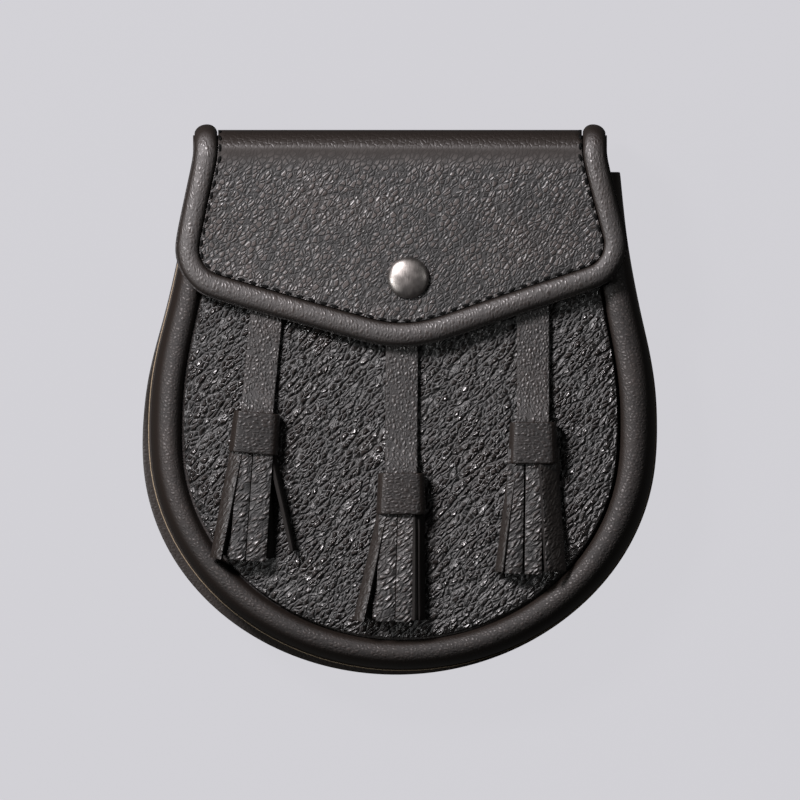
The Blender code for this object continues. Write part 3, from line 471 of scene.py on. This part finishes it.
def rim_path(node, faces_out):
    """The edge of a sheet's visible face, in order: (point, the face's normal, the way inwards)."""
    mesh = sheet_of(node)
    links = {}
    for edge in sharp_edges(mesh):
        for face in edge.link_faces:
            if not faces_out(face.normal):
                continue
            a, b = edge.verts
            inward = face.calc_center_median() - (a.co + b.co) / 2
            way = (b.co - a.co).normalized()
            inward -= way * inward.dot(way)
            for start, end in ((a, b), (b, a)):
                links.setdefault(start.index, []).append((end.index, face.normal.copy(), inward.normalized()))
    points = {vert.index: vert.co.copy() for vert in mesh.verts}
    mesh.free()
    # A panel may have holes too, so the longest of its edges is the rim
    rim = []
    while links:
        here, path = min(links, key=lambda index: (len(links[index]), -points[index].y, points[index].x)), []
        while here is not None:
            found = links.pop(here)
            normal = sum((link[1] for link in found), Vector()).normalized()
            inward = sum((link[2] for link in found), Vector()).normalized()
            path.append((points[here], normal, inward))
            here = next((link[0] for link in found if link[0] in links), None)
        rim = max(rim, path, key=len)
    return rim


def walk(path, pitch):
    """Even steps along a path: (point, way along, normal)."""
    steps, left = [], pitch / 2
    for (start, normal, _), (end, next_normal, _) in zip(path, path[1:]):
        length = (end - start).length
        while left < length:
            share = left / length
            steps.append((start.lerp(end, share), (end - start) / length, normal.lerp(next_normal, share)))
            left += pitch
        left -= length
    return steps


def add_stitches(name, path, inset, sizes, material, sink=0.3):
    """A row of saddle stitches: each shows as a short bar whose ends dive into the leather."""
    inside = [(point + inward * inset, normal, inward) for point, normal, inward in path]
    mesh = bmesh.new()
    for i, (point, along, normal) in enumerate(walk(inside, sizes.stitch_pitch)):
        made = bmesh.ops.create_uvsphere(mesh, u_segments=8, v_segments=7, radius=0.5)["verts"]
        across = normal.cross(along).normalized()
        slant = STITCH_SLANT * sin(i * 2.4)
        way = (along + across * slant).normalized()
        side = normal.cross(way).normalized()
        turn = Matrix((way * sizes.stitch_length, side * sizes.thread, normal.normalized() * sizes.thread)).transposed()
        bmesh.ops.transform(mesh, matrix=turn.to_4x4(), verts=made)
        bmesh.ops.translate(mesh, verts=made, vec=point - normal * sizes.thread * sink)
    return finish_piece(name, mesh, [material])


# Fringes


# How far the strips reach up into their collar, in millimetres
TUCKED_IN = 6.5
# From this roll in degrees a strip is made of the dark matt edge leather all over: painted shade on strips turned far
# from the light
SHADED_STRIP_ROLL = 57
# Share of its roll that a strip has where it leaves the collar, and how much its edges sink, in millimetres
ROLL_AT_TOP = 0.75
CUPPING = 0.35


def add_strip(mesh, strip, thickness, seed):
    """One cut strip: a grid bent along its length, rolled, and cupped across."""
    made = bmesh.ops.create_grid(mesh, x_segments=4, y_segments=16, size=0.5)["verts"]
    start = Vector((strip.top_x, strip.top_y, strip.top_z)) * MM
    end = Vector((strip.end_x, strip.end_y, strip.end_z)) * MM
    along = (end - start).normalized()
    side = along.cross(UP).normalized() * -1
    for vert in made:
        across, share = vert.co.x, 0.5 - vert.co.y
        roll = radians(strip.roll) * min(1.0, ROLL_AT_TOP + share) + 0.06 * sin(3.1 * share + seed)
        across_way = side * cos(roll) + UP * sin(roll)
        up_way = UP * cos(roll) - side * sin(roll)
        bow = strip.curl * MM * (sin(pi * share) * 0.9 - share * share * 0.6)
        cup = -CUPPING * MM * (2 * across) ** 2 * (0.3 + share)
        sway = side * 0.12 * MM * sin(2.6 * share + seed * 1.7) * share
        centre = start.lerp(end, share) + UP * bow + sway
        vert.co = centre + across_way * across * strip.width * MM + up_way * (cup - thickness / 2)
    return made


def add_fringe(name, strips, sizes, materials):
    """A fringe's strips in one piece, their tops tucked up into the collar that wraps them."""
    mesh = bmesh.new()
    for i, strip in enumerate(strips):
        slope = (strip.top_x - strip.end_x) / (strip.top_y - strip.end_y)
        lifted = strip._replace(top_x=strip.top_x + TUCKED_IN * slope, top_y=strip.top_y + TUCKED_IN)
        made = add_strip(mesh, lifted, sizes.strip_leather, i * 1.9)
        for face in {face for vert in made for face in vert.link_faces}:
            # Strips rolled far over get the dark matt leather as painted shade
            face.material_index = 1 if abs(strip.roll) > SHADED_STRIP_ROLL else 0
    bmesh.ops.recalc_face_normals(mesh, faces=mesh.faces)
    flat = [face for face in mesh.faces if face.normal.z < 0]
    bmesh.ops.reverse_faces(mesh, faces=flat)
    piece = finish_piece("cut_fringe_" + name, mesh, materials, ["fringe_" + name])
    wall = piece.modifiers.new("Leather", "SOLIDIFY")
    wall.thickness = sizes.strip_leather
    wall.offset = 0.0
    wall.material_offset_rim = 1
    worn = piece.modifiers.new("Edges", "BEVEL")
    worn.width = 0.18 * MM
    worn.segments = 2
    worn.limit_method = "ANGLE"
    worn.angle_limit = radians(50)
    return piece


# Operators


class SporranOperator:
    """What the sporran's operators share."""

    bl_options = {"REGISTER", "UNDO"}


class DressPouch(SporranOperator, bpy.types.Operator):
    """Dress the back, the gusset and the front of the pouch"""

    bl_idname = "sporran.dress_pouch"
    bl_label = "Pouch"

    def execute(self, context):
        looks, sizes = finishes(context.scene), context.scene.sporran_sizes
        worn = sizes.edge_round
        back, smooth = [looks["smooth"], looks["rim"]], [looks["smooth"], looks["rim"], looks["edge"]]
        front = [looks["front"], looks["dyed"]]
        dressed_sheet("back_panel", "back_of_hide", back, "back_leather", worn, 2)
        dressed_sheet("gusset", "rolled_gusset", smooth, "smooth_leather", 0.3 * worn, 1, raw=12 * MM)
        dressed_sheet("front_panel", "pebbled_front", front, "pebbled_leather", worn, 1)
        return {"FINISHED"}


class DressFlap(SporranOperator, bpy.types.Operator):
    """Dress the flap's backing, its face and its padded border"""

    bl_idname = "sporran.dress_flap"
    bl_label = "Flap"

    def execute(self, context):
        looks, sizes = finishes(context.scene), context.scene.sporran_sizes
        worn = sizes.edge_round
        lining, face = [looks["smooth"], looks["dyed"]], [looks["flap"], looks["dyed"]]
        dressed_sheet("flap_backing", "flap_lining", lining, "smooth_leather", worn, 1)
        dressed_sheet("flap_panel", "flap_face", face, "fine_pebbled_leather", worn, 1)
        dressed_sheet("flap_border", "padded_border", [looks["border"]], "smooth_leather", worn, 1)
        return {"FINISHED"}


class SewSeams(SporranOperator, bpy.types.Operator):
    """Sew the flap's border, its tail and the edge of the back"""

    bl_idname = "sporran.sew_seams"
    bl_label = "Stitches"

    def execute(self, context):
        looks, sizes = finishes(context.scene), context.scene.sporran_sizes
        rim = rim_path("flap_panel", lambda normal: normal.z > 0.4 or normal.y > 0.6)
        hem = min(point.z for point, _, _ in rim) + 0.3 * MM
        sewn = [step for step in rim if step[0].z > hem]
        add_stitches("border_stitches", sewn, 0.6 * MM, sizes, looks["thread"], 0.1)
        back = rim_path("back_panel", lambda normal: normal.z < -0.5)
        add_stitches("back_stitches", back, 3.6 * MM, sizes, looks["thread"], 0.55)
        return {"FINISHED"}


class FitSnap(SporranOperator, bpy.types.Operator):
    """Turn the snap's domed cap with its socket, and plate its stud"""

    bl_idname = "sporran.fit_snap"
    bl_label = "Snap"

    def execute(self, context):
        looks = finishes(context.scene)
        low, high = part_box("snap_cap")
        centre = (low + high) / 2
        radius = (high.x - low.x) / 2
        # The cap stands on its post, whose socket takes the stud
        cap_height, lip_height = 3.2 * MM, 0.9 * MM
        post_radius, socket_radius, bore_radius = 2.0 * MM, 5.2 * MM, 2.9 * MM
        socket_top, bore_top = low.z + 2.4 * MM, low.z + 1.8 * MM
        foot = high.z - cap_height
        dome = high.z - foot - lip_height
        outline = [(0.0, high.z)]
        for step in range(1, 9):
            angle = pi / 2 * step / 8
            outline.append((radius * 0.965 * sin(angle), foot + lip_height + dome * cos(angle)))
        outline += [(radius * 0.995, foot + 0.72 * MM), (radius, foot + 0.45 * MM), (radius * 0.985, foot + 0.15 * MM)]
        outline += [(radius * 0.95, foot), (post_radius, foot), (post_radius, socket_top)]
        outline += [(socket_radius, socket_top), (socket_radius, low.z), (bore_radius, low.z)]
        outline += [(bore_radius, bore_top), (0.0, bore_top)]
        mesh = bmesh.new()
        verts = [mesh.verts.new((centre.x + r, centre.y, z)) for r, z in outline]
        edges = [mesh.edges.new(pair) for pair in zip(verts, verts[1:])]
        turned = {"cent": (centre.x, centre.y, 0.0), "axis": UP, "angle": 2 * pi, "steps": 48, "use_merge": True}
        bmesh.ops.spin(mesh, geom=verts + edges, **turned)
        bmesh.ops.remove_doubles(mesh, verts=mesh.verts, dist=0.005 * MM)
        bmesh.ops.recalc_face_normals(mesh, faces=mesh.faces)
        cap = finish_piece("domed_snap_cap", mesh, [looks["metal"]], ["snap_cap"])
        cap.data.set_sharp_from_angle(angle=radians(45))
        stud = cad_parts["snap_stud"]
        stud.data.materials.clear()
        stud.data.materials.append(looks["metal"])
        return {"FINISHED"}


class HangTassels(SporranOperator, bpy.types.Operator):
    """Dress the straps and the collars, and cut the fringes"""

    bl_idname = "sporran.hang_tassels"
    bl_label = "Tassels"

    def execute(self, context):
        looks, sizes = finishes(context.scene), context.scene.sporran_sizes
        strap, band = [looks["strap"], looks["dyed"]], [looks["band"], looks["dyed"]]
        for name, strips in FRINGES.items():
            dressed_sheet("strap_" + name, "hanging_strap_" + name, strap, "strap_leather", sizes.edge_round, 2)
            first = strips[0]
            lean = (first.top_x - first.end_x) / (first.top_y - first.end_y)
            wrapped = ("wrapped_collar_" + name, band, "strap_leather", 2 * sizes.edge_round)
            dressed_sheet("collar_" + name, *wrapped, crowned=(lean, 1.6 * MM))
            add_fringe(name, strips, sizes, [looks["fringe"], looks["dyed"]])
        return {"FINISHED"}


class FitBeltLoops(SporranOperator, bpy.types.Operator):
    """Dress the two belt loops on the back"""

    bl_idname = "sporran.fit_belt_loops"
    bl_label = "Belt loops"

    def execute(self, context):
        looks, sizes = finishes(context.scene), context.scene.sporran_sizes
        for side in ("left", "right"):
            strap = [looks["strap"], looks["dyed"]]
            dressed_sheet("belt_loop_" + side, "sewn_loop_" + side, strap, "strap_leather", sizes.edge_round, 2)
        return {"FINISHED"}


class SetStage(SporranOperator, bpy.types.Operator):
    """Lay the pale floor, hang the lights and set the camera"""

    bl_idname = "sporran.set_stage"
    bl_label = "Stage"

    def execute(self, context):
        scene = context.scene
        sizes, colours = scene.sporran_sizes, scene.sporran_colours
        mesh = bmesh.new()
        bmesh.ops.create_grid(mesh, x_segments=1, y_segments=1, size=2.0)
        data = bpy.data.meshes.new("paper_floor")
        mesh.to_mesh(data)
        mesh.free()
        floor = bpy.data.objects.new("paper_floor", data)
        scene.collection.objects.link(floor)
        floor.visible_diffuse = floor.visible_glossy = False
        # Seamless paper, lit evenly from below as well, so that shadows on it stay faint
        paper, tree, shader = new_material("seamless_paper", {"Roughness": 0.9, "Specular IOR Level": 0.1})
        shader.inputs["Base Color"].default_value = linear(colours.floor)
        glow = add_node(tree, "ShaderNodeEmission", {"Color": linear(colours.floor), "Strength": 0.975})
        parts = {0: 0.99, 1: shader.outputs["BSDF"], 2: glow.outputs["Emission"]}
        mixed = add_node(tree, "ShaderNodeMixShader", parts)
        tree.links.new(mixed.outputs["Shader"], tree.nodes["Material Output"].inputs["Surface"])
        data.materials.append(paper)

        def softbox(name, direction, distance, size, power, colour="#FFFFFF"):
            light = bpy.data.lights.new(name, "AREA")
            light.size = size
            light.energy = power
            light.color = linear(colour)[:3]
            lamp = bpy.data.objects.new(name, light)
            lamp.location = Vector(direction).normalized() * distance
            lamp.rotation_euler = Vector(direction).to_track_quat("Z", "Y").to_euler()
            scene.collection.objects.link(lamp)

        softbox("key_softbox", (-0.62, 0.64, 0.92), 1.1, sizes.light_size, 32.0, "#FFF9FB")
        softbox("left_softbox", (-0.95, -0.2, 0.8), 1.1, sizes.light_size, 7.0)
        softbox("right_softbox", (0.8, 0.2, 0.7), 1.2, 0.40, 1.5)
        world = bpy.data.worlds.new("studio")
        scene.world = world
        world.use_nodes = True
        background = world.node_tree.nodes["Background"].inputs
        background["Color"].default_value = linear("#E6E4E2")
        background["Strength"].default_value = 0.04

        camera = bpy.data.cameras.new("overhead_camera")
        camera.type = "ORTHO"
        camera.ortho_scale = VIEW_SIZE
        camera.clip_start, camera.clip_end = 0.1, 5.0
        eye = bpy.data.objects.new("overhead_camera", camera)
        eye.location = VIEW_CENTRE + UP * 1.5
        scene.collection.objects.link(eye)
        scene.camera = eye
        scene.view_settings.view_transform = "Standard"
        return {"FINISHED"}


class SporranPanel(bpy.types.Panel):
    """Lists the sporran's pieces, sizes and colours."""

    bl_idname = "VIEW3D_PT_sporran"
    bl_label = "Sporran"
    bl_space_type = "VIEW_3D"
    bl_region_type = "UI"
    bl_category = "Sporran"

    def draw(self, context):
        for group in (context.scene.sporran_sizes, context.scene.sporran_colours):
            column = self.layout.column(align=True)
            for name in group.__annotations__:
                column.prop(group, name)
        for operator in OPERATORS:
            self.layout.operator(operator.bl_idname)


OPERATORS = (DressPouch, DressFlap, SewSeams, FitSnap, HangTassels, FitBeltLoops, SetStage)
CLASSES = (SporranSizes, SporranColours, *OPERATORS, SporranPanel)


def register():
    for each in CLASSES:
        bpy.utils.register_class(each)
    bpy.types.Scene.sporran_sizes = bpy.props.PointerProperty(type=SporranSizes)
    bpy.types.Scene.sporran_colours = bpy.props.PointerProperty(type=SporranColours)


def unregister():
    del bpy.types.Scene.sporran_colours
    del bpy.types.Scene.sporran_sizes
    for each in reversed(CLASSES):
        bpy.utils.unregister_class(each)


def main():
    register()
    bpy.ops.sporran.dress_pouch()
    bpy.ops.sporran.dress_flap()
    bpy.ops.sporran.sew_seams()
    bpy.ops.sporran.fit_snap()
    bpy.ops.sporran.hang_tassels()
    bpy.ops.sporran.fit_belt_loops()
    bpy.ops.sporran.set_stage()


if __name__ == "__main__":
    main()
